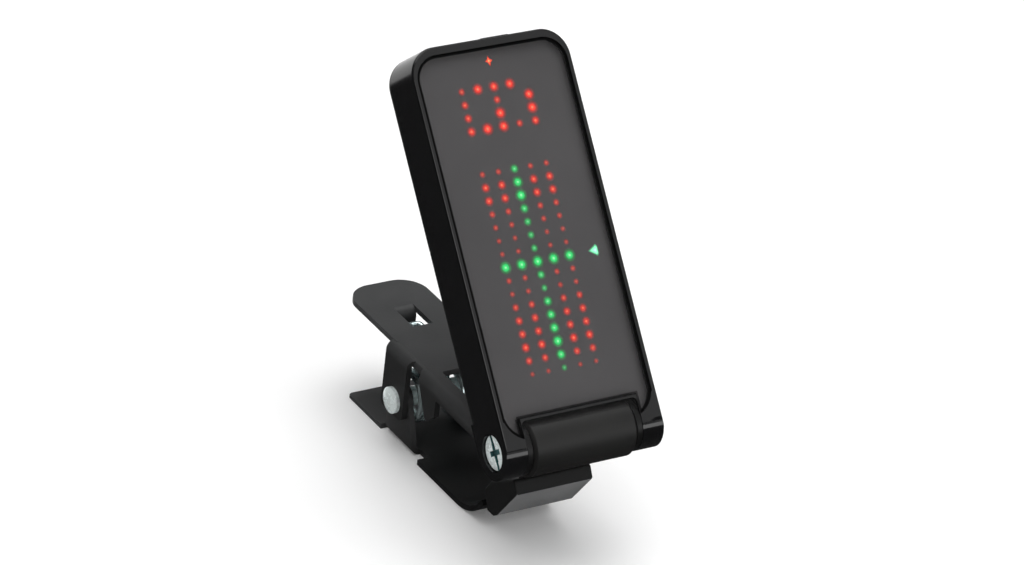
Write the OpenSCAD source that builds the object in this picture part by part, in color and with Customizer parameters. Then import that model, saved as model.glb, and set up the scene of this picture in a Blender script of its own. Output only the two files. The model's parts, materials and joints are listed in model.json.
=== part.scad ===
// Clip-on instrument tuner: a display head that tilts on a friction hinge at the front of a sprung clamp.
// +X is the user's right, +Y runs back towards the handles, +Z is up.
// The origin is on the flat underside of the lower jaw, straight below the pivot rivet.

/* [Head] */
// Width of the head
head_w = 27.1; // [25:0.1:30]
// Length from the hinge axis to the top edge
head_l = 59.7; // [58:0.1:64]
// Thickness of the head and diameter of its hinge ears
head_t = 8.3; // [8.2:0.1:8.5]
// Radius of the two top corners
head_corner = 4.5; // [3.5:0.1:5]
// Angle that the head leans back from upright
head_lean = 39.4; // [20:0.1:60]
// Wall thickness of the housing
wall = 1.35; // [1.2:0.05:1.5]
// Thickness of the rear cover and of the battery door
cover_t = 1.0; // [0.8:0.05:1]
// Height along the head where the rear cover ends and the battery door starts
door_line = 31; // [31:0.1:32]

/* [Display] */
// Thickness of the smoked window
lens_t = 1.0; // [0.8:0.1:1]
// How far the window lies below the rim
lens_sink = 0.2; // [0.1:0.05:0.3]
// Rim of the housing beside the window
rim_side = 0.8; // [0.5:0.05:1]
// Rim of the housing above the window
rim_top = 1.35; // [1:0.05:2]
// Spacing of the light columns
light_dx = 2.75; // [2.5:0.05:2.8]
// Spacing of the light rows
light_dz = 2.0; // [1.8:0.05:2]
// Number of rows in the long light field
field_rows = 16; // [8:1:16]
// Height of the long field's lowest row
field_low = 9.9; // [9.5:0.1:11]
// Height of the note block's lowest row
note_low = 46.5; // [46:0.1:47]

/* [Hinge] */
// Radius of the barrel between the ears
barrel_r = 4.55; // [4.5:0.01:4.6]
// Half the width of the notch between the ears
notch_half = 9.95; // [9.5:0.05:10.5]
// Thickness of each friction ring
ring_t = 1.0; // [0.8:0.05:1.1]
// Radius of the hinge screw's shank
screw_r = 1.45; // [1.2:0.05:1.5]
// Height of the hinge axis above the base
hinge_height = 20.5; // [20:0.1:21]
// Distance from the pivot rivet forward to the hinge axis
hinge_reach = 37.2; // [36:0.1:38]

/* [Clamp] */
// Thickness of the jaw sheet
sheet = 0.9; // [0.8:0.05:1]
// Half the width of both handles
handle_half = 6.4; // [6.2:0.05:6.9]
// Half the width across the upper jaw's ears
upper_half = 7.5; // [7.5:0.05:8]
// Height of the pivot rivet's axis
pivot_height = 7.4; // [7:0.1:8]
// Length of the upper handle behind the pivot
upper_back = 19.3; // [18:0.1:20]
// Length of the lower handle behind the pivot
lower_back = 14.2; // [13:0.1:15]
// Inner radius of the lower jaw's front bend
front_bend_r = 8; // [7:0.1:9]
// Slope of the lower jaw's risen tip
tip_slope = 52; // [48:1:55]

/* [Spring] */
// Radius of the spring wire
wire_r = 0.5; // [0.4:0.05:0.6]
// Mean radius of the coils
coil_r = 3.75; // [3.4:0.05:3.8]
// Turns in each of the two coils
coil_turns = 2.5; // [2.5:1:3.5]

/* [Hidden] */
$fn = 64;
eps = 0.01;
half_w = head_w / 2;
half_t = head_t / 2;
seam_y = half_t - cover_t;          // joint between the housing and the rear cover
lens_front = -half_t + lens_sink;
lens_back = lens_front + lens_t;
lens_half = half_w - rim_side;
lens_top = head_l - rim_top;
lens_low = 3.85;                    // window's lower edge above the notch
notch_top = 3.4;
barrel_gap_r = barrel_r + 0.3;      // hollow in the housing that clears the barrel
cover_low = 4.95;                   // rear cover's lower edge
cavity_half = half_w - wall;
cavity_low = 6.3;
cavity_top = head_l - wall;
light_h = 0.6;
board_front = lens_back + 0.1 + light_h;
board_t = 0.8;
board_back = board_front + board_t;
board_half = cavity_half - 0.25;
board_low = 6.6;
board_top = 56.9;
field_columns = [-2, -1, 0, 1, 2];
green_row = 8;                      // counted from the bottom of the long field
note_rows = 4;
marker_z = 56.3;
pointer_x = 9.65;
boss_x = 10.2;
boss_r = 1.75;
boss_heights = [9.2, 21];
cell_r = 10;
cell_t = 3.2;
cell_z = 42.5;
cell_back = seam_y - 0.05;
mode_x = 5.2;
mode_z = 25.6;
mode_cap_r = 1.9;
power_x = 3.2;
power_w = 4.8;
power_d = 2.6;
power_proud = 0.5;
press_gap = 0.05;
counterbore_r = 2.8;
counterbore_depth = 1.75;
hinge_head_r = 2.65;
slot_w = 0.5;                       // straight slot across the whole screw head
slot_depth = 0.3;
cross_w = 0.8;                      // deeper cross in the middle of the slot
cross_depth = 0.6;
cross_span = 2.8;
nut_flats = 5.5;
nut_t = 1.9;
barrel_half = notch_half - ring_t - 0.05;
barrel_clear = 0.05;
plate_top = hinge_height - 4.4;
plate_low = plate_top - sheet;
plate_front = -hinge_reach - 0.3;
bend_out = 1.6;                     // outer radius of the sheet bends
ear_front = -2.9;
ear_back = 3.5;
ear_low = 4.9;
slot_front = -6.5;                  // relief slot between the ear and the front flange
flange_front = -32;
flange_depth = 2.4;
rivet_r = 1.5;
rivet_head_r = 2.1;
rivet_head_h = 1.1;
lower_ear_half = 6.5;
base_half = 6.85;
lip_corner = 1;                     // rear corners of the lower handle
window_low = -18;                   // front edge of the large window
window_high = -7.9;                 // and its rear edge
window_half = 4.5;
window_small = 1.75;                // half the width of the small window and of its tab
tab_bend_y = 11.9;                  // front edge of the small window's bend
tab_low = 12.3;                     // lower end of the spring tab
guard_front = -11.7;                // front edge of the side guards
bend_start = -19.4;                 // where the lower jaw starts to rise
tip_run = 7;                        // straight run of the tip past its bend
coil_outer_x = 5;                   // centre line of the outermost turns
coil_pitch = 2 * wire_r + 0.05;
coil_steps = 16;                    // straight pieces in one turn
start_angle = 270;                  // where the leg joins the coil, seen along X
bridge_x = 1.1;
bridge_y = 8.2;
bridge_z = plate_low - wire_r - 0.1;
leg_y = 4.4;
leg_z = sheet + wire_r + 0.12;      // the leg's height above the base's underside
pad_half = 6.7;
upper_pad_half = 5.9;
pad_face = 12.5;                    // underside of the upper pad

// ---------- helpers ----------

// Places a shape drawn in the head's own frame: X across, Z up the head, Y from front to back.
module in_head() {
    translate([0, -hinge_reach, hinge_height])
        rotate([-head_lean, 0, 0])
            children();
}

// Extrudes an (x, z) outline from y = front to y = back.
module layer(front, back) {
    translate([0, back, 0])
        rotate([90, 0, 0])
            linear_extrude(back - front)
                children();
}

// Extrudes a (y, z) outline from x = left to x = right.
module across(left, right) {
    translate([left, 0, 0])
        rotate([90, 0, 90])
            linear_extrude(right - left)
                children();
}

// Cylinder along X.
module rod(r, left, right) {
    translate([left, 0, 0])
        rotate([0, 90, 0])
            cylinder(r = r, h = right - left);
}

// Cylinder along Y at (x, z), from y = front to y = back.
module peg(r, x, z, front, back) {
    translate([x, back, z])
        rotate([90, 0, 0])
            cylinder(r = r, h = back - front);
}

// Box between two corners.
module block(low, high) {
    translate(low)
        cube(high - low);
}

// Outline with square bottom corners and rounded top corners.
module arch(half, low, top, r) {
    translate([-half, low])
        square([2 * half, top - low - r]);
    translate([-half + r, low])
        square([2 * (half - r), top - low]);
    for (side = [-1, 1])
        translate([side * (half - r), top - r])
            circle(r);
}

// Rectangle with four rounded corners.
module pill(left, right, low, top, r) {
    translate([left + r, low])
        square([right - left - 2 * r, top - low]);
    translate([left, low + r])
        square([right - left, top - low - 2 * r]);
    for (x = [left + r, right - r], z = [low + r, top - r])
        translate([x, z])
            circle(r);
}

// ---------- head ----------

// The window's outline, with a lobe on each side of the notch; grow widens it for the recess.
module window_outline(grow) {
    lobe_z = 4.9;
    lobe_r = 4.3;
    arch(lens_half + grow, lens_low - grow, lens_top + grow, head_corner - rim_side + grow);
    for (side = [-1, 1])
        intersection() {
            translate([side * (lens_half - lobe_r), lobe_z])
                circle(lobe_r + grow);
            translate([side > 0 ? notch_half + 0.15 - grow : -lens_half - 1, 0])
                square([lens_half + 1 - notch_half - 0.15 + grow, lobe_z + 1]);
        }
}

// Rail that holds the battery door's hooks, and boss for a housing screw.
module housing_rails() {
    for (side = [-1, 1])
        block([side > 0 ? cavity_half - 0.6 : -cavity_half - eps, seam_y - 0.55, door_line - 1],
              [side > 0 ? cavity_half + eps : -cavity_half + 0.6, seam_y, cavity_top - 1]);
}

module housing_bosses() {
    for (side = [-1, 1], z = boss_heights)
        difference() {
            union() {
                peg(boss_r, side * boss_x, z, lens_back, seam_y);
                block([side > 0 ? boss_x : -cavity_half - eps, lens_back, z - boss_r],
                      [side > 0 ? cavity_half + eps : -boss_x, seam_y, z + boss_r]);
            }
            peg(0.85, side * boss_x, z, seam_y - 3.5, seam_y + 1);
        }
}

module housing_shell() {
    difference() {
        union() {
            layer(-half_t, seam_y)
                arch(half_w, 0, head_l, head_corner);
            for (side = [-1, 1]) {
                block([side > 0 ? notch_half : -half_w, 0, 0],
                      [side > 0 ? half_w : -notch_half, half_t, cover_low]);
                rod(half_t, side > 0 ? notch_half : -half_w, side > 0 ? half_w : -notch_half);
            }
        }
        layer(-half_t - 1, lens_back)
            window_outline(0.1);
        layer(lens_back - eps, seam_y + 1)
            pill(-cavity_half, cavity_half, cavity_low, cavity_top, head_corner - wall);
        layer(-half_t - 1, half_t + 1)
            pill(-notch_half, notch_half, -half_t - 5, notch_top, 0.8);
        rod(barrel_gap_r, -notch_half, notch_half);
    }
}

module front_housing() {
    color([0.04, 0.04, 0.045])
        in_head() {
            difference() {
                housing_shell();
                rod(screw_r + 0.05, -half_w - 1, half_w + 1);
                rod(counterbore_r, -half_w - 1, -half_w + counterbore_depth);
                translate([half_w - nut_t - 0.2, 0, 0])
                    rotate([0, 90, 0])
                        cylinder(d = nut_flats / cos(30) + 0.1, h = 5, $fn = 6);
                translate([power_x, 0, 0])
                    block([-power_w / 2 - press_gap, -power_d / 2 - press_gap, cavity_top - 1],
                          [power_w / 2 + press_gap, power_d / 2 + press_gap, head_l + 1]);
            }
            housing_rails();
            housing_bosses();
        }
}

module display_lens() {
    color([0.29, 0.285, 0.29])
        in_head()
            layer(lens_front, lens_back)
                window_outline(0);
}

// ---------- electronics ----------

module circuit_board() {
    color([0.05, 0.25, 0.12])
        in_head()
            difference() {
                layer(board_front, board_back)
                    pill(-board_half, board_half, board_low, board_top, 2.6);
                for (side = [-1, 1], z = boss_heights)
                    block([side > 0 ? boss_x - boss_r - 0.2 : -board_half - 1, board_front - 1, z - boss_r - 0.2],
                          [side > 0 ? board_half + 1 : -boss_x + boss_r + 0.2, board_back + 1, z + boss_r + 0.2]);
            }
}

// One surface-mount light.
module light(x, z) {
    block([x - 0.3, board_front - light_h, z - 0.3], [x + 0.3, board_front, z + 0.3]);
}

// All lights whose place in the long field is green, or all that are not.
module field_lights(green) {
    for (row = [1 : field_rows], column = field_columns)
        if ((row == green_row + 1 || column == 0) == green)
            light(column * light_dx, field_low + (row - 1) * light_dz);
}

module red_lights() {
    color([0.85, 0.08, 0.06])
        in_head() {
            field_lights(false);
            for (row = [0 : note_rows - 1], column = field_columns)
                light(column * light_dx, note_low + row * light_dz);
            light(0, marker_z);
        }
}

module green_lights() {
    color([0.1, 0.8, 0.25])
        in_head() {
            field_lights(true);
            light(pointer_x, field_low + green_row * light_dz);
        }
}

module chip(x, z, w, h, t) {
    block([x - w / 2, board_back, z - h / 2], [x + w / 2, board_back + t, z + h / 2]);
}

module processor_chip() {
    color([0.1, 0.1, 0.1])
        in_head()
            chip(-4.4, 13, 7, 7, 0.9);
}

module driver_chips() {
    color([0.12, 0.12, 0.12])
        in_head()
            for (z = [10.4, 16.2])
                chip(4.4, z, 4, 4, 0.8);
}

module crystal() {
    color([0.75, 0.75, 0.72])
        in_head()
            chip(-4.4, 19, 3.2, 1.5, 0.7);
}

// Brass disc with its ceramic layer, glued to the inside of the rear cover.
module piezo_sensor() {
    color([0.8, 0.65, 0.3])
        in_head() {
            peg(5.5, 0, 13.4, seam_y - 0.2, seam_y);
            peg(4, 0, 13.4, seam_y - 0.4, seam_y - 0.2);
        }
}

// Two switches behind the mode buttons and one below the power button.
module switches() {
    color([0.2, 0.2, 0.2])
        in_head() {
            for (side = [-1, 1]) {
                chip(side * mode_x, mode_z, 4.2, 4.2, 1.8);
                peg(0.9, side * mode_x, mode_z, board_back + 1.8, board_back + 2.4);
            }
            chip(power_x, 54.9, 6, 3, 2.3);
            translate([power_x, 0, 56.4])
                cylinder(r = 0.7, h = 0.6);
        }
}

module coin_cell() {
    color([0.8, 0.8, 0.8])
        in_head() {
            peg(cell_r, 0, cell_z, cell_back - cell_t + 0.5, cell_back);
            peg(cell_r - 1.1, 0, cell_z, cell_back - cell_t, cell_back - cell_t + 0.5);
        }
}

// Strip that wraps part of the cell's rim.
module contact_positive() {
    color([0.75, 0.72, 0.6])
        in_head()
            translate([0, cell_back - 0.8, cell_z])
                rotate([90, 0, 0])
                    rotate([0, 0, -120])
                        rotate_extrude(angle = 60)
                            translate([cell_r + 0.05, 0])
                                square([0.25, cell_back - 0.8 - board_back]);
}

// Folded tongue that presses on the cell's underside.
module contact_negative() {
    gap = cell_back - cell_t - board_back;
    color([0.75, 0.72, 0.6])
        in_head()
            across(-1.5, 1.5)
                polygon([[board_back, 38], [board_back, 47], [board_back + 0.2, 47], [board_back + gap - 0.25, 44],
                         [board_back + gap - 0.02, 44], [board_back + gap - 0.02, 43.2],
                         [board_back + gap - 0.25, 43.2], [board_back + 0.2, 46], [board_back + 0.2, 38]]);
}

// ---------- covers and buttons ----------

module rear_cover() {
    color([0.05, 0.05, 0.055])
        in_head()
            difference() {
                layer(seam_y, half_t)
                    translate([-half_w, cover_low])
                        square([head_w, door_line - cover_low - 0.05]);
                for (side = [-1, 1]) {
                    peg(mode_cap_r + 0.1, side * mode_x, mode_z, seam_y - 1, half_t + 1);
                    for (z = boss_heights) {
                        peg(0.95, side * boss_x, z, seam_y - 1, half_t + 1);
                        peg(1.6, side * boss_x, z, half_t - 0.6, half_t + 1);
                    }
                }
            }
}

// Hooks run under the rails inside the housing; shallow grooves give the thumb a grip.
module battery_door() {
    color([0.05, 0.05, 0.055])
        in_head() {
            difference() {
                layer(seam_y + 0.05, half_t)
                    arch(half_w, door_line + 0.05, head_l, head_corner);
                for (row = [0 : 4])
                    block([-5, half_t - 0.35, 50 + row * 1.2], [5, half_t + 1, 50.6 + row * 1.2]);
            }
            for (side = [-1, 1]) {
                block([side > 0 ? 10.35 : -11.1, seam_y - 1.2, door_line + 1],
                      [side > 0 ? 11.1 : -10.35, seam_y + 0.1, door_line + 4.5]);
                block([side > 0 ? 10.35 : -11.7, seam_y - 1.2, door_line + 1],
                      [side > 0 ? 11.7 : -10.35, seam_y - 0.65, door_line + 4.5]);
            }
        }
}

module power_button() {
    color([0.06, 0.06, 0.06])
        in_head()
            translate([power_x, 0, 0]) {
                block([-power_w / 2, -power_d / 2, cavity_top - 0.4], [power_w / 2, power_d / 2, head_l + power_proud]);
                block([-power_w / 2 - 0.6, -power_d / 2 - 0.3, 57.45],
                      [power_w / 2 + 0.6, power_d / 2 + 0.5, cavity_top - 0.05]);
            }
}

module mode_button(x) {
    stem_front = board_back + 2.75;
    color([0.06, 0.06, 0.06])
        in_head() {
            peg(mode_cap_r, x, mode_z, seam_y - 0.5, half_t + 0.4);
            peg(mode_cap_r + 0.6, x, mode_z, seam_y - 0.8, seam_y - 0.05);
            peg(1, x, mode_z, stem_front, seam_y - 0.5);
        }
}

module mode_button_left() {
    mode_button(-mode_x);
}

module mode_button_right() {
    mode_button(mode_x);
}

module housing_screws() {
    color([0.2, 0.2, 0.21])
        in_head()
            for (side = [-1, 1], z = boss_heights)
                difference() {
                    union() {
                        peg(1.5, side * boss_x, z, half_t - 0.6, half_t - 0.1);
                        peg(0.8, side * boss_x, z, seam_y - 3, half_t - 0.3);
                    }
                    translate([side * boss_x, half_t, z])
                        for (turn = [0, 90])
                            rotate([0, turn, 0])
                                cube([1.8, 0.7, 0.35], center = true);
                }
}

// ---------- hinge ----------

module hinge_screw() {
    head_left = -half_w + 0.45;
    floor_x = -half_w + counterbore_depth;
    color([0.75, 0.8, 0.8])
        in_head()
            difference() {
                union() {
                    rod(hinge_head_r, head_left, floor_x);
                    rod(screw_r, floor_x - 0.1, half_w - 0.3);
                }
                translate([head_left, 0, 0]) {
                    cube([2 * slot_depth, slot_w, 3 * hinge_head_r], center = true);
                    for (turn = [0, 90])
                        rotate([turn, 0, 0])
                            cube([2 * cross_depth, cross_w, cross_span], center = true);
                }
            }
}

module hinge_nut() {
    color([0.7, 0.75, 0.75])
        in_head()
            difference() {
                translate([half_w - nut_t - 0.15, 0, 0])
                    rotate([0, 90, 0])
                        cylinder(d = nut_flats / cos(30), h = nut_t, $fn = 6);
                rod(screw_r + 0.02, half_w - nut_t - 1, half_w + 1);
            }
}

module friction_ring(left) {
    color([0.07, 0.07, 0.07])
        in_head()
            difference() {
                rod(half_t - 0.05, left, left + ring_t);
                rod(screw_r + 0.1, left - 1, left + ring_t + 1);
            }
}

module friction_ring_left() {
    friction_ring(-notch_half);
}

module friction_ring_right() {
    friction_ring(notch_half - ring_t);
}

// Moulded barrel with chamfered ends and a foot that stands on the upper jaw.
module hinge_barrel() {
    chamfer = 0.45;
    color([0.09, 0.09, 0.09])
        translate([0, -hinge_reach, hinge_height])
            difference() {
                union() {
                    rod(barrel_r, -barrel_half + chamfer, barrel_half - chamfer);
                    for (side = [0, 1])
                        mirror([side, 0, 0])
                            translate([barrel_half - chamfer, 0, 0])
                                rotate([0, 90, 0])
                                    cylinder(r1 = barrel_r, r2 = barrel_r - chamfer, h = chamfer);
                    block([-7.2, -0.3, plate_top - hinge_height], [7.2, 3.4, -2]);
                }
                rod(screw_r + barrel_clear, -barrel_half - 1, barrel_half + 1);
                block([-20, -20, -10], [20, 20, plate_top - hinge_height]);
                for (side = [-1, 1])
                    translate([side * 5, 1.6, -5])
                        cylinder(r = 0.8, h = 2.5);
            }
}

// Two flat-headed rivets that hold the barrel's foot to the upper jaw.
module barrel_rivets() {
    color([0.6, 0.62, 0.62])
        translate([0, -hinge_reach, 0])
            for (side = [-1, 1])
                translate([side * 5, 1.6, 0]) {
                    translate([0, 0, plate_low - 0.35])
                        cylinder(r = 1.3, h = 0.35);
                    translate([0, 0, plate_low - 0.1])
                        cylinder(r = 0.78, h = 2.6);
                }
}

// ---------- clamp ----------

// Cross-section (x, z) of a channel that opens downwards.
module channel(half, low, top, r) {
    difference() {
        arch(half, low, top, r);
        arch(half - sheet, low - 1, top - sheet, r - sheet);
    }
}

// Upper handle, seen from above, with two rounded rear corners.
module upper_handle() {
    translate([0, 0, plate_low])
        linear_extrude(sheet)
            arch(handle_half, ear_back - 1, upper_back, 4.3);
}

// Tab folded down behind the small window; it keeps the spring's bridge in place.
module spring_tab() {
    front_y = tab_bend_y - bend_out;
    bend_z = plate_top - bend_out;
    across(-window_small, window_small) {
        translate([front_y, tab_low])
            square([sheet, bend_z - tab_low]);
        difference() {
            translate([tab_bend_y, bend_z])
                circle(bend_out);
            translate([tab_bend_y, bend_z])
                circle(bend_out - sheet);
            translate([tab_bend_y - 5, bend_z - 5])
                square([10, 5]);
            translate([tab_bend_y, bend_z])
                square([5, 5]);
        }
    }
}

// Guard that hangs from a side flange in front of the relief slot.
module side_guard(side) {
    across(side > 0 ? upper_half - sheet : -upper_half, side > 0 ? upper_half : sheet - upper_half)
        hull() {
            translate([guard_front, plate_top - bend_out - 0.2])
                square([slot_front - guard_front, 0.2]);
            translate([-9.7, 9.9])
                circle(0.75);
            translate([guard_front + 0.65, 11.1])
                circle(0.65);
        }
}

// Relief slot between an ear and the front flange, with a round end that breaks the top edge.
module relief_slot(left, right) {
    slot_half = (ear_front - slot_front) / 2;
    round_z = plate_top + 0.3 - slot_half;
    across(left, right) {
        translate([slot_front, -1])
            square([2 * slot_half, round_z + 1]);
        translate([slot_front + slot_half, round_z])
            circle(slot_half);
    }
}

module upper_jaw() {
    slot_inside = upper_half - sheet - 0.02;
    color([0.12, 0.12, 0.125]) {
        spring_tab();
        for (side = [-1, 1])
            side_guard(side);
        difference() {
            union() {
                upper_handle();
                // ears that carry the pivot
                intersection() {
                    layer(ear_front - 0.5, ear_back)
                        channel(upper_half, ear_low - 1, plate_top, bend_out);
                    across(-10, 10)
                        pill(ear_front, ear_back, ear_low, plate_top + 5, 1);
                }
                // front part with its shallow side flanges
                layer(flange_front, ear_front + 0.3)
                    channel(upper_half, plate_top - flange_depth, plate_top, bend_out);
                block([-upper_half, plate_front, plate_low], [upper_half, flange_front + 0.5, plate_top]);
            }
            relief_slot(-10, -slot_inside);
            relief_slot(slot_inside, 10);
            // small window over the spring's bridge
            block([-window_small, 5.5, plate_low - 1], [window_small, tab_bend_y, plate_top + 1]);
            // large window over the throat
            translate([0, 0, plate_low - 1])
                linear_extrude(sheet + 2)
                    pill(-window_half, window_half, window_low, window_high, 0.4);
            translate([0, 0, pivot_height])
                rod(rivet_r + 0.02, -10, 10);
            for (side = [-1, 1])
                translate([side * 5, 1.6 - hinge_reach, plate_low - 1])
                    cylinder(r = 0.8, h = 4);
        }
    }
}

// Side profile (y, z) of the lower jaw's flat base and of its handle, which thins towards the rear edge.
module base_profile() {
    polygon([[bend_start, 0], [lower_back, 0], [lower_back, 0.4 * sheet], [lower_back - 2, 0.65 * sheet],
             [5.5, 0.7 * sheet], [3.6, sheet], [bend_start, sheet]]);
}

// Front bend and straight tip.
module front_rise() {
    centre_z = sheet + front_bend_r;
    translate([0, bend_start, centre_z]) {
        intersection() {
            difference() {
                rod(front_bend_r + sheet, -base_half, base_half);
                rod(front_bend_r, -base_half - 1, base_half + 1);
            }
            across(-base_half, base_half)
                polygon([[0, 0], [0, -20], [-20 * tan(tip_slope / 2), -20],
                         [-20 * sin(tip_slope), -20 * cos(tip_slope)]]);
        }
        rotate([-tip_slope, 0, 0]) {
            block([-base_half, -0.6, -front_bend_r - sheet], [base_half, eps, -front_bend_r]);
            block([-5.7, -tip_run, -front_bend_r - sheet], [5.7, 0, -front_bend_r]);
        }
    }
}

// Side outline (y, z) of one lower ear: a tab that narrows to a round end about the pivot.
module lower_ear_outline() {
    ear_end_r = 3;
    translate([0, pivot_height])
        circle(ear_end_r);
    polygon([[-5.2, 0], [-4.9, 2.4], [-ear_end_r, pivot_height], [ear_end_r, pivot_height], [3, 2.4], [3, 0]]);
}

module lower_jaw() {
    color([0.12, 0.12, 0.125])
        difference() {
            union() {
                difference() {
                    across(-base_half, base_half)
                        base_profile();
                    // the ears are folded up out of this stretch, with a relief notch at each end
                    for (side = [-1, 1])
                        block([side > 0 ? lower_ear_half - bend_out : -10, -7.6, -1],
                              [side > 0 ? 10 : -lower_ear_half + bend_out, 3.6, 3]);
                    // round rear corners
                    for (side = [-1, 1])
                        difference() {
                            block([side > 0 ? base_half - lip_corner : -10, lower_back - lip_corner, -1],
                                  [side > 0 ? 10 : -base_half + lip_corner, 20, 3]);
                            translate([side * (base_half - lip_corner), lower_back - lip_corner, -2])
                                cylinder(r = lip_corner, h = 6);
                        }
                }
                intersection() {
                    translate([0, 0, pivot_height + 5])
                        mirror([0, 0, 1])
                            layer(-5.2, 3)
                                channel(lower_ear_half, 0, pivot_height + 5, bend_out);
                    across(-10, 10)
                        lower_ear_outline();
                }
                front_rise();
            }
            translate([0, 0, pivot_height])
                rod(rivet_r + 0.05, -10, 10);
        }
}

// Rivet head pointing to -X: a short round rim with a low dome on it.
module rivet_dome() {
    rim = rivet_head_h / 2;
    rise = rivet_head_h - rim;
    dome_r = (rivet_head_r * rivet_head_r + rise * rise) / (2 * rise);
    rod(rivet_head_r, -rim, 0);
    intersection() {
        translate([dome_r - rivet_head_h, 0, 0])
            sphere(dome_r);
        rod(rivet_head_r + 1, -rivet_head_h - 1, -rim + eps);
    }
}

module pivot_rivet() {
    color([0.78, 0.82, 0.82])
        translate([0, 0, pivot_height]) {
            rod(rivet_r, -upper_half - 0.2, upper_half + 0.2);
            for (side = [0, 1])
                mirror([side, 0, 0])
                    translate([-upper_half - eps, 0, 0])
                        rivet_dome();
        }
}

// ---------- spring ----------

function cross3(a, b) = [a[1] * b[2] - a[2] * b[1], a[2] * b[0] - a[0] * b[2], a[0] * b[1] - a[1] * b[0]];
function unit(v) = v / norm(v);
function heading(path, i) = unit(path[min(i + 1, len(path) - 1)] - path[max(i - 1, 0)]);
function level(n, t) = unit(n - (n * t) * t);
// Side directions that turn as little as possible from ring to ring.
function sides(path, start) =
    [for (i = 0, n = level(start, heading(path, 0)); i < len(path);
          i = i + 1, n = level(n, heading(path, min(i, len(path) - 1)))) n];

// Round tube along a path.
module tube(path, r, start, facets) {
    n = sides(path, start);
    last = len(path) - 1;
    rings = [for (i = [0 : last]) let (t = heading(path, i), b = cross3(t, n[i]))
        for (k = [0 : facets - 1]) path[i] + r * (cos(k * 360 / facets) * n[i] + sin(k * 360 / facets) * b)];
    walls = [for (i = [0 : last - 1], k = [0 : facets - 1]) let (k2 = (k + 1) % facets)
        each [[i * facets + k, (i + 1) * facets + k, (i + 1) * facets + k2],
              [i * facets + k, (i + 1) * facets + k2, i * facets + k2]]];
    first_cap = [for (k = [0 : facets - 1]) k];
    last_cap = [for (k = [facets - 1 : -1 : 0]) last * facets + k];
    polyhedron(points = rings, faces = concat([first_cap], walls, [last_cap]));
}

function coil_point(a, x) = [x, coil_r * cos(a), pivot_height + coil_r * sin(a)];
// One half of the spring, from the tip of its lower leg to the middle of the upper bridge.
function half_spring() = concat(
    [[-coil_outer_x, leg_y, leg_z], [-coil_outer_x, leg_y / 2, leg_z]],
    [for (i = [0 : coil_turns * coil_steps])
        let (turned = i / coil_steps, a = start_angle - turned * 360)
        coil_point(a, -coil_outer_x + turned * coil_pitch)],
    [[-bridge_x, bridge_y - 2.2, bridge_z - 0.5], [-bridge_x, bridge_y - 0.5, bridge_z],
     [-bridge_x + 0.4, bridge_y, bridge_z], [0, bridge_y, bridge_z]]);
function flip_x(path) = [for (i = [len(path) - 2 : -1 : 0]) [-path[i][0], path[i][1], path[i][2]]];

module torsion_spring() {
    half = half_spring();
    color([0.75, 0.8, 0.8])
        tube(concat(half, flip_x(half)), wire_r, [0, 0, 1], 8);
}

// ---------- pads ----------

module upper_pad() {
    color([0.07, 0.07, 0.07])
        difference() {
            block([-upper_pad_half, -33.9, pad_face], [upper_pad_half, -25.2, plate_low]);
            for (row = [0 : 2])
                block([-upper_pad_half - 1, -31.8 + row * 2.2, pad_face - 1],
                      [upper_pad_half + 1, -31.2 + row * 2.2, pad_face + 0.4]);
        }
}

// Sleeve on the lower jaw's tip; its sloping top lies level with the upper pad when the jaws are open.
module lower_pad() {
    color([0.1, 0.1, 0.1])
        difference() {
            across(-pad_half, pad_half)
                polygon([[-26.3, 6.6], [-27.8, 8.8], [-33.3, 12.2], [-33.8, 12.1], [-34.8, 10.35], [-30.3, 4.2],
                         [-29.3, 3.5], [-27.6, 3.5]]);
            front_rise();
        }
}

// ---------- what is shown ----------

front_housing();
display_lens();
circuit_board();
red_lights();
green_lights();
processor_chip();
driver_chips();
crystal();
piezo_sensor();
switches();
coin_cell();
contact_positive();
contact_negative();
rear_cover();
battery_door();
power_button();
mode_button_left();
mode_button_right();
housing_screws();
hinge_screw();
hinge_nut();
friction_ring_left();
friction_ring_right();
hinge_barrel();
barrel_rivets();
upper_jaw();
lower_jaw();
pivot_rivet();
torsion_spring();
upper_pad();
lower_pad();
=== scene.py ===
import bpy, bmesh, json, math
from mathutils import Vector, Matrix


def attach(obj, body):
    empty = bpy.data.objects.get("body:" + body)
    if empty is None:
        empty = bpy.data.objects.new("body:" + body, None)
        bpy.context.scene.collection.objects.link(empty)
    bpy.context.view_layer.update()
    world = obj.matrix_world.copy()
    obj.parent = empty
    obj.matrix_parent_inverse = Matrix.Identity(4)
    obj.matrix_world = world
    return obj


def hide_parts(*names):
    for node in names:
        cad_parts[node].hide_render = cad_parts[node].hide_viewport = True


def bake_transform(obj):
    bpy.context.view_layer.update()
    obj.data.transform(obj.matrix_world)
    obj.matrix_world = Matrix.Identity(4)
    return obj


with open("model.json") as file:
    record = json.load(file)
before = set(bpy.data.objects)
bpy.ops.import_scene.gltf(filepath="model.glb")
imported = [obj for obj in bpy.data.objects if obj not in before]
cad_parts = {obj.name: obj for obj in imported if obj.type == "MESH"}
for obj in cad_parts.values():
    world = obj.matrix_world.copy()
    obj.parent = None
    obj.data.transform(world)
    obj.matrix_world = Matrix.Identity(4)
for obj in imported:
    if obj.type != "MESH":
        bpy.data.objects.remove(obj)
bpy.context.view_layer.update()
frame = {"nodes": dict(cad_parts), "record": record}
scene = bpy.context.scene
MM = 0.001

# ---------------------------------------------------------------- frame of the head
LEAN = math.radians(39.4)
HINGE = Vector((0, -37.2, 20.5))
UP = Vector((0, math.sin(LEAN), math.cos(LEAN)))
BACK = Vector((0, math.cos(LEAN), -math.sin(LEAN)))


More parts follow.
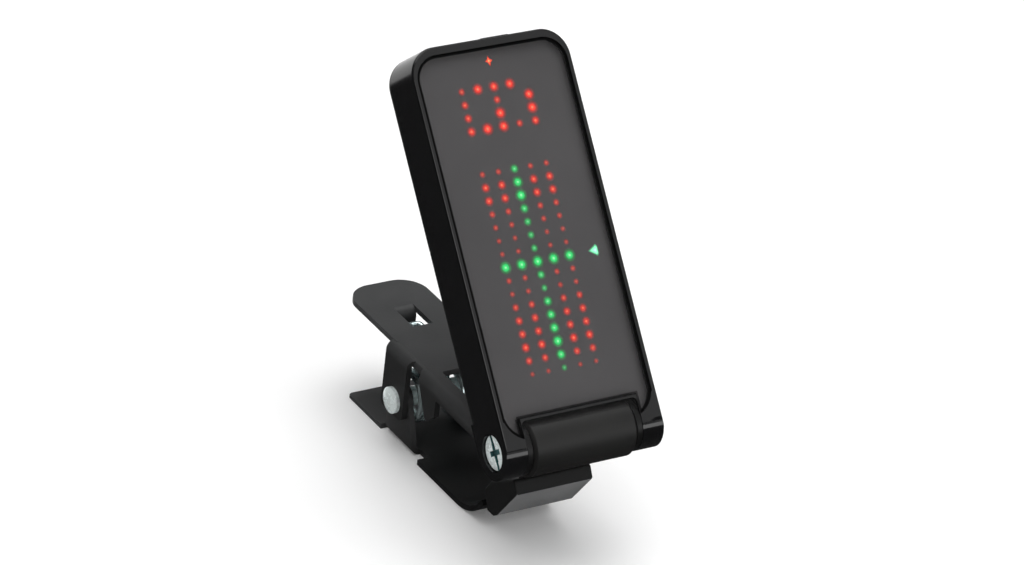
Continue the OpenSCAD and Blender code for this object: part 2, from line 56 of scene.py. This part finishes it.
def in_head(p):
    """A point (x, depth, height) in the head's own frame, in mm, to the row frame."""
    return HINGE + Vector((p[0], 0, 0)) + BACK * p[1] + UP * p[2]


def of_head(v):
    """A point of the row frame, in mm, as (x, depth, height) in the head's own frame."""
    d = Vector(v) - HINGE
    return Vector((d.x, d.dot(BACK), d.dot(UP)))


# ---------------------------------------------------------------- materials
def material(name):
    m = bpy.data.materials.new(name)
    m.use_nodes = True
    return m, m.node_tree.nodes, m.node_tree.links, m.node_tree.nodes["Principled BSDF"]


def coords(nodes, links, stretch=(1, 1, 1)):
    tc = nodes.new("ShaderNodeTexCoord")
    mp = nodes.new("ShaderNodeMapping")
    mp.inputs["Scale"].default_value = stretch
    links.new(tc.outputs["Object"], mp.inputs["Vector"])
    return mp


def noise(nodes, links, mp, scale, detail=3.0, rough=0.5):
    n = nodes.new("ShaderNodeTexNoise")
    n.inputs["Scale"].default_value = scale
    n.inputs["Detail"].default_value = detail
    n.inputs["Roughness"].default_value = rough
    links.new(mp.outputs[0], n.inputs["Vector"])
    return n


def ramp(nodes, links, src, stops):
    r = nodes.new("ShaderNodeValToRGB")
    while len(r.color_ramp.elements) < len(stops):
        r.color_ramp.elements.new(0.5)
    for e, (pos, col) in zip(r.color_ramp.elements, stops):
        e.position = pos
        e.color = (*col, 1)
    links.new(src, r.inputs["Fac"])
    return r


def maprange(nodes, links, src, lo, hi, a=0.0, b=1.0):
    m = nodes.new("ShaderNodeMapRange")
    m.inputs["From Min"].default_value = a
    m.inputs["From Max"].default_value = b
    m.inputs["To Min"].default_value = lo
    m.inputs["To Max"].default_value = hi
    links.new(src, m.inputs["Value"])
    return m


def bump(nodes, links, src, strength, distance, bsdf):
    b = nodes.new("ShaderNodeBump")
    b.inputs["Strength"].default_value = strength
    b.inputs["Distance"].default_value = distance
    links.new(src, b.inputs["Height"])
    links.new(b.outputs[0], bsdf.inputs["Normal"])


def plastic(name, dark, light, rough, grain_scale, grain, spec=0.5, smear=0.05):
    """Moulded plastic or rubber: soft blotches between two tones, and a fine grain."""
    m, n, l, b = material(name)
    mp = coords(n, l)
    big = noise(n, l, mp, 140, 4, 0.6)
    fine = noise(n, l, mp, grain_scale, 2, 0.5)
    c = ramp(n, l, big.outputs["Fac"], [(0.3, dark), (0.7, light)])
    l.new(c.outputs["Color"], b.inputs["Base Color"])
    r = maprange(n, l, big.outputs["Fac"], rough - smear, rough + smear, 0.3, 0.7)
    l.new(r.outputs[0], b.inputs["Roughness"])
    bump(n, l, fine.outputs["Fac"], grain, 0.00004, b)
    b.inputs["Specular IOR Level"].default_value = spec
    return m


def metal(name, dark, light, rough, grain, stretch=(1, 1, 1), purity=1.0):
    """Bare or plated metal, its grain stretched along the axes. Less purity mirrors less."""
    m, n, l, b = material(name)
    mp = coords(n, l, stretch)
    tone = noise(n, l, mp, 260, 4, 0.6)
    fine = noise(n, l, mp, 900, 3, 0.6)
    c = ramp(n, l, tone.outputs["Fac"], [(0.3, dark), (0.7, light)])
    l.new(c.outputs["Color"], b.inputs["Base Color"])
    b.inputs["Metallic"].default_value = purity
    r = maprange(n, l, fine.outputs["Fac"], rough - 0.06, rough + 0.1, 0.25, 0.75)
    l.new(r.outputs[0], b.inputs["Roughness"])
    bump(n, l, fine.outputs["Fac"], grain, 0.00003, b)
    return m


def lamp(name, core, halo, strength):
    """The face of the light packages: small bright cells in a deeper colour, faintly lit."""
    m, n, l, b = material(name)
    mp = coords(n, l)
    v = n.new("ShaderNodeTexVoronoi")
    v.inputs["Scale"].default_value = 2600
    l.new(mp.outputs[0], v.inputs["Vector"])
    c = ramp(n, l, v.outputs["Distance"], [(0.1, core), (0.75, halo)])
    l.new(c.outputs["Color"], b.inputs["Base Color"])
    l.new(c.outputs["Color"], b.inputs["Emission Color"])
    s = maprange(n, l, v.outputs["Distance"], strength * 1.25, strength * 0.75, 0.1, 0.8)
    l.new(s.outputs[0], b.inputs["Emission Strength"])
    b.inputs["Roughness"].default_value = 0.3
    return m


# dark tone, light tone, roughness, grain scale, grain strength
GLOSS = plastic("housing_gloss", (0.003, 0.003, 0.0034), (0.0045, 0.0045, 0.005), 0.13, 900, 0.012,
                smear=0.03)
REAR = plastic("cover_gloss", (0.007, 0.007, 0.0075), (0.01, 0.01, 0.0107), 0.2, 900, 0.04, smear=0.03)
# partly a satin texture, partly painted light: the covers' flat back faces are lighter than the glossy
# cover, so the back reads where little light falls
SATIN_AND_PAINTED_LIGHT = plastic("cover_satin_painted_light", (0.017, 0.017, 0.0175), (0.026, 0.026, 0.0265), 0.42, 1500, 0.22, spec=0.45)
BARREL = plastic("barrel_satin", (0.0085, 0.0084, 0.0081), (0.012, 0.0118, 0.0113), 0.5, 2600, 0.15,
                 spec=0.33, smear=0.04)
RING = plastic("ring_satin", (0.004, 0.004, 0.004), (0.006, 0.006, 0.006), 0.4, 1800, 0.12, spec=0.25)
BUTTON = plastic("button_matte", (0.012, 0.012, 0.012), (0.02, 0.02, 0.02), 0.5, 2600, 0.3)
RUBBER = plastic("pad_rubber", (0.009, 0.0091, 0.0092), (0.014, 0.0141, 0.0143), 0.6, 2200, 0.5, spec=0.2)
# painted light: a much lighter tone for the pad's faces that look forward and down, standing in for the
# light they catch
PAD_PAINTED_LIGHT = plastic("pad_painted_light", (0.125, 0.127, 0.128), (0.17, 0.172, 0.174), 0.6, 2200, 0.5, spec=0.3)
SHEET = plastic("sheet_coat", (0.05, 0.051, 0.052), (0.066, 0.067, 0.068), 0.5, 3200, 0.4, spec=0.3)


def sheet_with_painted_shade(name, axis, start, end, least):
    """Painted shade on the sheet's coat: its tone darkens to the least share from end to start along an axis
    (0-2), in metres."""
    m = SHEET.copy()
    m.name = name
    n, l = m.node_tree.nodes, m.node_tree.links
    b = n["Principled BSDF"]
    tc = n.new("ShaderNodeTexCoord")
    sp = n.new("ShaderNodeSeparateXYZ")
    l.new(tc.outputs["Object"], sp.inputs[0])
    f = maprange(n, l, sp.outputs[axis], least, 1.0, start, end)
    old = b.inputs["Base Color"].links[0].from_socket
    mul = n.new("ShaderNodeVectorMath")
    mul.operation = "SCALE"
    l.new(old, mul.inputs[0])
    l.new(f.outputs[0], mul.inputs["Scale"])
    l.new(mul.outputs[0], b.inputs["Base Color"])
    return m


# painted shade: the upper jaw darkens below its top, over the flange fold and ears; the lower jaw darkens
# towards its front
UPPER_SHEET_PAINTED_SHADE = sheet_with_painted_shade("upper_coat_painted_shade", 2, 0.014, 0.01605, 0.36)
LOWER_SHEET_PAINTED_SHADE = sheet_with_painted_shade("lower_coat_painted_shade", 1, -0.011, 0.003, 0.12)
# painted shade: a near-black, nearly glossless tone on the window's front border and rounded rim, standing
# in for the shaded gap to the bezel
EDGE_PAINTED_SHADE = plastic("window_edge_painted_shade", (0.001, 0.001, 0.001), (0.002, 0.002, 0.002), 0.6, 1200, 0.1, spec=0.05)
CHIP = plastic("chip_resin", (0.015, 0.015, 0.015), (0.028, 0.028, 0.028), 0.55, 3000, 0.3)
ZINC = metal("bright_zinc", (0.84, 0.93, 0.92), (0.9, 0.98, 0.97), 0.26, 0.03, purity=0.2)
WIRE = metal("bright_wire", (0.7, 0.85, 0.86), (0.84, 0.96, 0.96), 0.17, 0.02, purity=0.85)
STEEL = metal("cell_steel", (0.5, 0.5, 0.5), (0.68, 0.68, 0.68), 0.24, 0.25, (1, 1, 6))
STRIP = metal("contact_strip", (0.56, 0.53, 0.45), (0.72, 0.68, 0.58), 0.28, 0.25, (4, 1, 1))
BRASS = metal("brass_disc", (0.62, 0.45, 0.16), (0.82, 0.62, 0.27), 0.3, 0.2)
# painted shade: a darker, less mirror-like teal for the faces in the hinge screw's cross recess
RECESS_SHADE = metal("recess_shade", (0.05, 0.14, 0.145), (0.1, 0.23, 0.235), 0.3, 0.2, purity=0.3)
DARK_SCREW = metal("dark_screw", (0.05, 0.05, 0.055), (0.09, 0.09, 0.095), 0.35, 0.3)


def lens_material():
    """The clear window: only its gloss is seen."""
    m, n, l, b = material("lens_clear")
    mp = coords(n, l)
    speck = noise(n, l, mp, 420, 5, 0.65)
    fine = noise(n, l, mp, 3600, 2, 0.5)
    c = ramp(n, l, speck.outputs["Fac"], [(0.3, (0.03, 0.03, 0.031)), (0.7, (0.045, 0.044, 0.045))])
    l.new(c.outputs["Color"], b.inputs["Base Color"])
    r = maprange(n, l, speck.outputs["Fac"], 0.2, 0.3, 0.3, 0.7)
    l.new(r.outputs[0], b.inputs["Roughness"])
    bump(n, l, fine.outputs["Fac"], 0.05, 0.00002, b)
    b.inputs["Specular IOR Level"].default_value = 0.5
    b.inputs["Alpha"].default_value = 0.16
    return m


def smoke_material():
    """The smoked coat on the window's back."""
    m, n, l, b = material("lens_smoke")
    mp = coords(n, l)
    cloud = noise(n, l, mp, 60, 3, 0.5)
    fine = noise(n, l, mp, 3000, 2, 0.5)
    c = ramp(n, l, cloud.outputs["Fac"], [(0.3, (0.08, 0.077, 0.079)), (0.7, (0.094, 0.0905, 0.0925))])
    l.new(c.outputs["Color"], b.inputs["Base Color"])
    r = maprange(n, l, fine.outputs["Fac"], 0.5, 0.65, 0.3, 0.7)
    l.new(r.outputs[0], b.inputs["Roughness"])
    bump(n, l, fine.outputs["Fac"], 0.1, 0.00002, b)
    b.inputs["Specular IOR Level"].default_value = 0.1
    return m


def board_material():
    m, n, l, b = material("board_mask")
    mp = coords(n, l)
    blotch = noise(n, l, mp, 500, 4, 0.6)
    v = n.new("ShaderNodeTexVoronoi")
    v.feature = "DISTANCE_TO_EDGE"
    v.inputs["Scale"].default_value = 420
    l.new(mp.outputs[0], v.inputs["Vector"])
    trace = ramp(n, l, v.outputs["Distance"], [(0.04, (0.012, 0.02, 0.016)), (0.09, (0.006, 0.009, 0.008))])
    l.new(trace.outputs["Color"], b.inputs["Base Color"])
    r = maprange(n, l, blotch.outputs["Fac"], 0.25, 0.4)
    l.new(r.outputs[0], b.inputs["Roughness"])
    bump(n, l, v.outputs["Distance"], 0.2, 0.00005, b)
    return m


LENS = lens_material()
SMOKE = smoke_material()
BOARD = board_material()
RED = lamp("red_light", (0.3, 0.03, 0.02), (0.16, 0.01, 0.008), 0.15)
GREEN = lamp("green_light", (0.05, 0.25, 0.1), (0.01, 0.14, 0.03), 0.15)


WOBBLE = 0.24                       # how far noise shifts the rim of a spot, as a share of its radius


def glow(name, core, mid, edge, strength):
    """Light spread on the window's smoked back: hot in the middle, fading out to nothing at the rim."""
    m, n, l, b = material(name)
    uv = n.new("ShaderNodeUVMap")
    uv.uv_map = "spread"
    ln = n.new("ShaderNodeVectorMath")
    ln.operation = "LENGTH"
    l.new(uv.outputs[0], ln.inputs[0])
    mp = coords(n, l)
    nz = noise(n, l, mp, 5200, 2, 0.6)
    wob = n.new("ShaderNodeMath")
    wob.operation = "MULTIPLY_ADD"
    l.new(nz.outputs["Fac"], wob.inputs[0])
    wob.inputs[1].default_value = WOBBLE
    l.new(ln.outputs["Value"], wob.inputs[2])
    sub = n.new("ShaderNodeMath")
    sub.operation = "SUBTRACT"
    l.new(wob.outputs[0], sub.inputs[0])
    sub.inputs[1].default_value = WOBBLE / 2
    c = ramp(n, l, sub.outputs[0], [(0.0, core), (0.24, mid), (0.85, edge)])
    l.new(c.outputs["Color"], b.inputs["Emission Color"])
    b.inputs["Base Color"].default_value = (*edge, 1)
    b.inputs["Emission Strength"].default_value = strength
    b.inputs["Roughness"].default_value = 0.5
    b.inputs["Specular IOR Level"].default_value = 0.0
    a = ramp(n, l, sub.outputs[0], [(0.12, (1, 1, 1)), (0.4, (0.86, 0.86, 0.86)), (0.62, (0.3, 0.3, 0.3)),
                                    (0.96, (0, 0, 0))])
    pw = n.new("ShaderNodeUVMap")
    pw.uv_map = "power"
    sx = n.new("ShaderNodeSeparateXYZ")
    l.new(pw.outputs[0], sx.inputs[0])
    am = n.new("ShaderNodeMath")
    am.operation = "MULTIPLY"
    l.new(a.outputs["Color"], am.inputs[0])
    l.new(sx.outputs["X"], am.inputs[1])
    l.new(am.outputs[0], b.inputs["Alpha"])
    return m


# ---------------------------------------------------------------- pieces
SHARP = 35                          # degrees; edges over this stay sharp
EASE_FROM, EASE_STEPS = 40, 3       # degrees; edges over this are rounded, in so many steps


def add(bm, name, body, mat, nodes=(), weld=True):
    """Turns a bmesh in millimetres into a piece on its body."""
    if weld:
        bmesh.ops.remove_doubles(bm, verts=bm.verts, dist=1e-4)
    bmesh.ops.recalc_face_normals(bm, faces=bm.faces)
    me = bpy.data.meshes.new(name)
    bm.to_mesh(me)
    bm.free()
    me.transform(Matrix.Scale(MM, 4))
    ob = bpy.data.objects.new(name, me)
    scene.collection.objects.link(ob)
    me.materials.append(mat)
    me.shade_smooth()
    me.set_sharp_from_angle(angle=math.radians(SHARP))
    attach(ob, body)
    if nodes:
        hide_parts(*nodes)
    return ob


def from_cad(node):
    """A bmesh in millimetres with the CAD node's shape, its coplanar faces merged."""
    bm = bmesh.new()
    bm.from_mesh(frame["nodes"][node].data)
    bmesh.ops.scale(bm, vec=(1000, 1000, 1000), verts=bm.verts)
    bmesh.ops.remove_doubles(bm, verts=bm.verts, dist=2e-4)
    bmesh.ops.dissolve_limit(bm, angle_limit=math.radians(0.6), verts=bm.verts, edges=bm.edges,
                             delimit={"NORMAL"})
    return bm


def eased(node, body, mat, width, second=None, pick=None, rim=None, tweak=None):
    """The CAD shape with its sharp edges rounded. tweak(bm) changes the shape first. Faces that
    pick(centre, normal) accepts take the second material, and the rounded edges the rim's."""
    bm = from_cad(node)
    if tweak:
        tweak(bm)
    if pick:
        for f in bm.faces:
            if pick(f.calc_center_median(), f.normal):
                f.material_index = 1
    ob = add(bm, node + "_piece", body, mat, [node])
    if second:
        ob.data.materials.append(second)
    mod = ob.modifiers.new("ease", "BEVEL")
    mod.width = width * MM
    mod.segments = EASE_STEPS
    mod.limit_method = "ANGLE"
    mod.angle_limit = math.radians(EASE_FROM)
    mod.use_clamp_overlap = True
    mod.harden_normals = True
    if rim:
        ob.data.materials.append(rim)
        mod.material = len(ob.data.materials) - 1
    even = ob.modifiers.new("even", "WEIGHTED_NORMAL")
    even.keep_sharp = True
    return ob


# ---------------------------------------------------------------- lit lights
COLS, DX, DZ = (-2, -1, 0, 1, 2), 2.75, 2.01      # columns, and the grid's steps in mm
LOW, NOTE_LOW = 9.85, 46.5          # heights of the field's and the note block's lowest rows
TOP_ROW, CENTRE_ROW = 15, 8         # the field's top row, and its green one, counted from the lowest
FACE = -3.01                        # just in front of the window's smoked back
HUB_LIFT = 0.02                     # a fan's middle stands this much nearer the front
SIDES = 24                          # corners of a round spot
FLAT_SPREAD = 0.7                   # how far out in the spread a sign's outline lies


def lit(name, fans, look, strength):
    """A piece of light inside the window. Each fan is its middle (x, height), its outline, how far out in
    the spread each outline point lies, and its power."""
    bm = bmesh.new()
    uv = bm.loops.layers.uv.new("spread")
    pw = bm.loops.layers.uv.new("power")
    for (hx, hz), outline, spread, power in fans:
        hub = bm.verts.new(in_head((hx, FACE - HUB_LIFT, hz)))
        ring = [bm.verts.new(in_head((x, FACE, z))) for x, z in outline]
        for i in range(len(ring)):
            k = (i + 1) % len(ring)
            f = bm.faces.new((hub, ring[i], ring[k]))
            out = {hub: (0, 0), ring[i]: spread[i], ring[k]: spread[k]}
            for lp in f.loops:
                lp[pw].uv = (power, 0)
                lp[uv].uv = out[lp.vert]
    ob = add(bm, name, "head", glow(name, *look, strength), weld=False)
    ob.visible_shadow = False


def spot(x, z, power):
    """A round spot, wider and stronger with its power."""
    r = 0.4 + 0.7 * power
    turns = [i * math.tau / SIDES for i in range(SIDES)]
    outline = [(x + r * math.cos(t), z + r * math.sin(t)) for t in turns]
    return (x, z), outline, [(math.cos(t), math.sin(t)) for t in turns], 0.15 + 0.85 * power


def sign(outline):
    """A small sign with its own outline, evenly lit."""
    middle = [sum(p[k] for p in outline) / len(outline) for k in (0, 1)]
    return middle, outline, [(FLAT_SPREAD, 0)] * len(outline), 1


# the power of each light: rows from the top, and the note block by row and column from its lowest row
RED_ROWS = (0.35, 0.7, 0.7, 0.42, 0.33, 0.25, 0.25, 0, 0.33, 0.28, 0.5, 0.62, 0.64, 0.72, 0.55, 0.2)
GREEN_ROWS = (0.62, 0.9, 1.0, 0.68, 0.55, 0.5, 0.5, 1.0, 0.62, 0.42, 0.72, 0.8, 0.85, 0.95, 0.82, 0.3)
NOTE = {0: {-2: 0.75, -1: 1, 0: 0.95, 1: 0.5, 2: 0.72}, 1: {-2: 0.65, 0: 1, 2: 1},
        2: {-2: 0.6, 0: 0.55, 2: 0.95}, 3: {-2: 0.45, -1: 0.9, 0: 0.85, 1: 0.9}}
reds = [(c * DX, LOW + (TOP_ROW - r) * DZ, p) for r, p in enumerate(RED_ROWS) if p for c in COLS if c]
reds += [(c * DX, NOTE_LOW + r * DZ, p) for r, row in NOTE.items() for c, p in row.items()]
greens = [(0, LOW + (TOP_ROW - r) * DZ, p) for r, p in enumerate(GREEN_ROWS)]
greens += [(c * DX, LOW + CENTRE_ROW * DZ, 0.98) for c in COLS if c]
POINTER = [(8.75, 25.95), (10.2, 26.85), (10.45, 26.5), (10.45, 25.3), (10.2, 25.0)]
MARKER = [(0.2, 57.25), (0.45, 56.75), (0.95, 56.45), (0.5, 56.1), (0.3, 55.5), (0.0, 56.1), (-0.45, 56.4),
          (-0.02, 56.7)]

# colours from the middle of the spread outwards, then the strength
lit("red_spots", [spot(*w) for w in reds], ((1.0, 0.4, 0.2), (0.8, 0.07, 0.05), (0.5, 0.02, 0.016)),
    1.08)
lit("green_spots", [spot(*w) for w in greens], ((0.6, 1.0, 0.68), (0.08, 0.72, 0.22), (0.01, 0.4, 0.08)),
    0.9)
lit("pointer_light", [sign(POINTER)], ((0.62, 1.0, 0.76), (0.3, 0.9, 0.52), (0.08, 0.55, 0.24)),
    1.5)
lit("marker_light", [sign(MARKER)], ((1.0, 0.5, 0.2), (0.9, 0.12, 0.05), (0.5, 0.02, 0.015)),
    1.6)

# ---------------------------------------------------------------- CAD pieces with finished edges
BODY = {n: b for b, ns in frame["record"]["behaviour"]["bodies"].items() for n in ns}
SLOT = {s["node"]: s["material_slot"] for s in frame["record"]["subparts"]}
LOOK = {"housing": GLOSS, "lens": LENS, "board": BOARD, "red_light": RED, "green_light": GREEN, "chip": CHIP,
        "crystal_can": STEEL, "brass": BRASS, "cell_steel": STEEL, "contact_steel": STRIP, "button": BUTTON,
        "dark_screw": DARK_SCREW, "bright_zinc": ZINC, "ring": RING, "barrel": BARREL, "black_sheet": SHEET,
        "spring_steel": WIRE, "pad_rubber": RUBBER}
HALF_W, HALF_T, LENGTH, CORNER = 13.55, 4.15, 59.7, 4.5     # the head's outline, in mm
FRONT_RIM, REAR_RIM = 0.3, 0.8      # radii of its rounded rims
LENS_BACK, LENS_BACK_FACES = -2.97, -3.2    # depths past which a vertex or a face is at the window's back
LEDGE_GAP, BORDER = 0.05, 0.36      # the window's clearance from its ledge, and the width of its border of painted shade
SCREW_RECESS = (0.47, 1.2)          # depths from the head's side between which the screw's recess lies
SCREW_REACH = 2.6                   # its greatest distance from the hinge's axis


def inward(v, slack=0.03):
    """Direction into the head from a point on its outline, seen from the front, or None off the outline."""
    p = of_head(v)
    cx, cz = HALF_W - CORNER, LENGTH - CORNER
    if p.z > cz and abs(p.x) > cx:
        away = Vector((abs(p.x) - cx, p.z - cz))
        if away.length < CORNER - slack:
            return None
        away.normalize()
        return Vector((-away.x * (1 if p.x > 0 else -1), 0, 0)) - UP * away.y
    if abs(p.x) > HALF_W - slack:
        return Vector((-1 if p.x > 0 else 1, 0, 0))
    return -UP if p.z > LENGTH - slack else None


def round_rim(depth, r, steps=5):
    """A change that rounds the head's outline where it meets the plane at that depth."""
    side = 1 if depth > 0 else -1

    def change(bm):
        for k in range(steps):
            h = r * (1 - math.sin(math.radians(90 * k / steps)))
            bmesh.ops.bisect_plane(bm, geom=bm.verts[:] + bm.edges[:] + bm.faces[:], dist=1e-4,
                                   plane_co=in_head((0, depth - side * h, 0)), plane_no=BACK)
        for v in bm.verts:
            h = abs(depth - of_head(v.co).y)
            into = inward(v.co) if h < r - 1e-4 else None
            if into:
                v.co += into * (r - math.sqrt(max(0, r * r - (r - h) ** 2)))
    return change


def lens_back_face(c, nrm):
    return of_head(c).y > LENS_BACK_FACES and nrm.dot(BACK) > 0.9


def window_details(bm):
    """Brings the window's back a little forward, clear of the ledge, and gives its front a dark border of
    painted shade.
    """
    for v in bm.verts:
        if of_head(v.co).y > LENS_BACK:
            v.co -= BACK * LEDGE_GAP
    front = [f for f in bm.faces if f.normal.dot(BACK) < -0.9]
    border = bmesh.ops.inset_region(bm, faces=front, thickness=BORDER, use_even_offset=True)["faces"]
    for f in border:
        f.material_index = 2


def flat_back(c, nrm):
    return nrm.dot(BACK) > 0.95


def recess(c, nrm):
    p = of_head(c)
    near, far = SCREW_RECESS
    return -HALF_W + near < p.x < -HALF_W + far and math.hypot(p.y, p.z) < SCREW_REACH


def pad_front(c, nrm):
    return nrm.y < -0.5 and nrm.z < -0.1


# how wide each piece's edges are rounded, in mm
WIDTH = {"power_button": 0.3, "mode_button_left": 0.2, "mode_button_right": 0.2, "hinge_barrel": 0.2,
         "friction_ring_left": 0.12, "friction_ring_right": 0.12, "upper_jaw": 0.12, "lower_jaw": 0.12,
         "upper_pad": 0.3, "pivot_rivet": 0.1, "hinge_nut": 0.15}
for node_name, w in WIDTH.items():
    look = {"upper_jaw": UPPER_SHEET_PAINTED_SHADE, "lower_jaw": LOWER_SHEET_PAINTED_SHADE}.get(node_name, LOOK[SLOT[node_name]])
    eased(node_name, BODY[node_name], look, w)
eased("front_housing", "head", GLOSS, 0.1, tweak=round_rim(-HALF_T, FRONT_RIM))
# the flat back faces take the satin tone with its painted light
eased("rear_cover", "head", REAR, 0.03, second=SATIN_AND_PAINTED_LIGHT, pick=flat_back,
      tweak=round_rim(HALF_T, REAR_RIM))
eased("battery_door", "battery_door", REAR, 0.03, second=SATIN_AND_PAINTED_LIGHT, pick=flat_back,
      tweak=round_rim(HALF_T, REAR_RIM))
# the pad's forward- and downward-facing faces take the lighter painted-light tone
eased("lower_pad", "lower_jaw", RUBBER, 0.35, second=PAD_PAINTED_LIGHT, pick=pad_front)
# the window's rounded rim takes the painted shade too
eased("display_lens", "head", LENS, 0.1, second=SMOKE, pick=lens_back_face, rim=EDGE_PAINTED_SHADE,
      tweak=window_details)
# the screw's recess faces take the painted shade
eased("hinge_screw", "head", ZINC, 0.14, second=RECESS_SHADE, pick=recess)


WIRE_R, WIRE_SIDES, WIRE_END = 0.5, 12, 0.1
COIL_X, COIL_R, PIVOT_Z, PITCH = 5, 3.75, 7.4, 1.05    # the coil's start, radius, height and pitch
TURN_STEPS, COIL_STEPS = 20, 50     # points a turn, and points in the whole coil


def spring_path():
    """Centre line of the torsion spring in mm: leg, coil, half of the bridge, and the same mirrored."""
    half = [(-COIL_X, 4.4, 1.52), (-COIL_X, 2.2, 1.52)]
    for i in range(COIL_STEPS + 1):
        a = math.radians(270 - i / TURN_STEPS * 360)
        half.append((-COIL_X + i / TURN_STEPS * PITCH, COIL_R * math.cos(a), PIVOT_Z + COIL_R * math.sin(a)))
    half += [(-1.1, 6.0, 14.1), (-1.1, 7.7, 14.6), (-0.7, 8.2, 14.6), (0, 8.2, 14.6)]
    path = [Vector(p) for p in half + [(-x, y, z) for x, y, z in reversed(half[:-1])]]
    for _ in range(3):
        cut = [path[0]]
        for p, q in zip(path, path[1:]):
            cut += [p.lerp(q, 0.25), p.lerp(q, 0.75)]
        path = cut + [path[-1]]
    return path


def wire(path):
    """A round wire along the path, a little narrower at its very ends."""
    bm = bmesh.new()
    ahead = (path[1] - path[0]).normalized()
    across = ahead.orthogonal().normalized()
    path = [path[0] - ahead * WIRE_END] + path + [path[-1] + (path[-1] - path[-2]).normalized() * WIRE_END]
    rings = []
    for k, p in enumerate(path):
        t = (path[min(k + 1, len(path) - 1)] - path[max(k - 1, 0)]).normalized()
        across = (across - t * across.dot(t)).normalized()
        up = t.cross(across)
        r = WIRE_R * 0.7 if k in (0, len(path) - 1) else WIRE_R
        rings.append([bm.verts.new(p + (across * math.cos(a) + up * math.sin(a)) * r)
                      for a in [j * math.tau / WIRE_SIDES for j in range(WIRE_SIDES)]])
    for ra, rb in zip(rings, rings[1:]):
        for j in range(WIRE_SIDES):
            k = (j + 1) % WIRE_SIDES
            bm.faces.new((ra[j], ra[k], rb[k], rb[j]))
    bm.faces.new(rings[0])
    bm.faces.new(rings[-1])
    return bm


bm = wire(spring_path())
bmesh.ops.recalc_face_normals(bm, faces=bm.faces)
me = bpy.data.meshes.new("spring")
bm.to_mesh(me)
bm.free()
me.transform(Matrix.Scale(MM, 4))
me.materials.append(WIRE)
me.shade_smooth()
spring = bpy.data.objects.new("spring_piece", me)
scene.collection.objects.link(spring)
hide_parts("torsion_spring")
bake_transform(spring)

for node_name, ob in frame["nodes"].items():
    if not ob.hide_render:
        ob.data.materials.clear()
        ob.data.materials.append(LOOK[SLOT[node_name]])

# ---------------------------------------------------------------- camera
AZ, EL, ROLL = 0.5995549, 0.5064167, 0.1216569             # radians
TX, TY, DIST, LENS_MM = -8.66845, 22.53837, 730.12145, 175.06   # shift and distance from the hinge, in mm
toward = Vector((-math.sin(AZ) * math.cos(EL), -math.cos(AZ) * math.cos(EL), math.sin(EL)))
right = Vector((0, 0, 1)).cross(toward).normalized()
level_up = toward.cross(right)
cam_right = right * math.cos(ROLL) + level_up * math.sin(ROLL)
cam_up = level_up * math.cos(ROLL) - right * math.sin(ROLL)
cam = bpy.data.cameras.new("camera")
cam.lens = LENS_MM
cam.sensor_width = 36
cam_ob = bpy.data.objects.new("camera", cam)
scene.collection.objects.link(cam_ob)
place = (HINGE + cam_right * TX + cam_up * TY + toward * DIST) * MM
rot = Matrix((cam_right, cam_up, toward)).transposed().to_4x4()
cam_ob.matrix_world = Matrix.Translation(place) @ rot
cam.clip_start = 0.05
cam.clip_end = 20
scene.camera = cam_ob

# ---------------------------------------------------------------- floor and light
bm = bmesh.new()
bmesh.ops.create_grid(bm, x_segments=8, y_segments=8, size=4)
me = bpy.data.meshes.new("floor")
bm.to_mesh(me)
bm.free()
floor = bpy.data.objects.new("floor", me)
scene.collection.objects.link(floor)
m, n, l, b = material("floor_white")
mp = coords(n, l)
nz = noise(n, l, mp, 6, 2, 0.5)
c = ramp(n, l, nz.outputs["Fac"], [(0.3, (0.9, 0.9, 0.9)), (0.7, (0.93, 0.93, 0.93))])
l.new(c.outputs["Color"], b.inputs["Base Color"])
b.inputs["Roughness"].default_value = 0.9
b.inputs["Specular IOR Level"].default_value = 0.1
b.inputs["Emission Color"].default_value = (1, 1, 1, 1)
b.inputs["Emission Strength"].default_value = 0.08
me.materials.append(m)
floor.visible_glossy = False

world = bpy.data.worlds.new("world")
scene.world = world
world.use_nodes = True
wn, wl = world.node_tree.nodes, world.node_tree.links
bg = wn["Background"]
wtc = wn.new("ShaderNodeTexCoord")
sep = wn.new("ShaderNodeSeparateXYZ")
wl.new(wtc.outputs["Generated"], sep.inputs[0])
SKY = ((0.0, 0.05), (0.4, 0.06), (0.8, 0.15), (1.0, 0.25))     # height, grey
sky = ramp(wn, wl, sep.outputs["Z"], [(z, (g, g, g)) for z, g in SKY])
wl.new(sky.outputs["Color"], bg.inputs[0])
bg.inputs[1].default_value = 1.0


def area(name, where, target, size, power, size_y=None):
    """A square light, or a rectangle with size_y; lengths in metres, power in watts."""
    d = bpy.data.lights.new(name, "AREA")
    d.energy = power
    d.size = size
    if size_y:
        d.shape = "RECTANGLE"
        d.size_y = size_y
    ob = bpy.data.objects.new(name, d)
    scene.collection.objects.link(ob)
    ob.location = where
    ob.rotation_euler = (Vector(target) - Vector(where)).to_track_quat("-Z", "Y").to_euler()
    return ob


area("key", (0.1, 0.1, 0.95), (0, -0.02, 0.02), 0.8, 5)
fill = area("fill", (0, 0, 1.3), (0, -0.02, 0.02), 2.6, 19)
fill.visible_glossy = False
area("front", (-0.02, -0.85, 0.6), (0, -0.02, 0.03), 0.5, 2)
area("low", (0.6, -0.78, 0.16), (0, -0.03, 0.01), 0.7, 1.7, 0.3)
# cards that are only seen in reflections
for name, where, size, size_y, power in (("card_back", (0.09, 0.95, -0.215), 1.0, 0.6, 1.9),
                                         ("card_front", (0.5, -0.63, 0.62), 0.6, 0.6, 0.7)):
    card = area(name, where, (0, -0.02, 0.04), size, power, size_y)
    card.visible_diffuse = False
scene.view_settings.view_transform = "Standard"
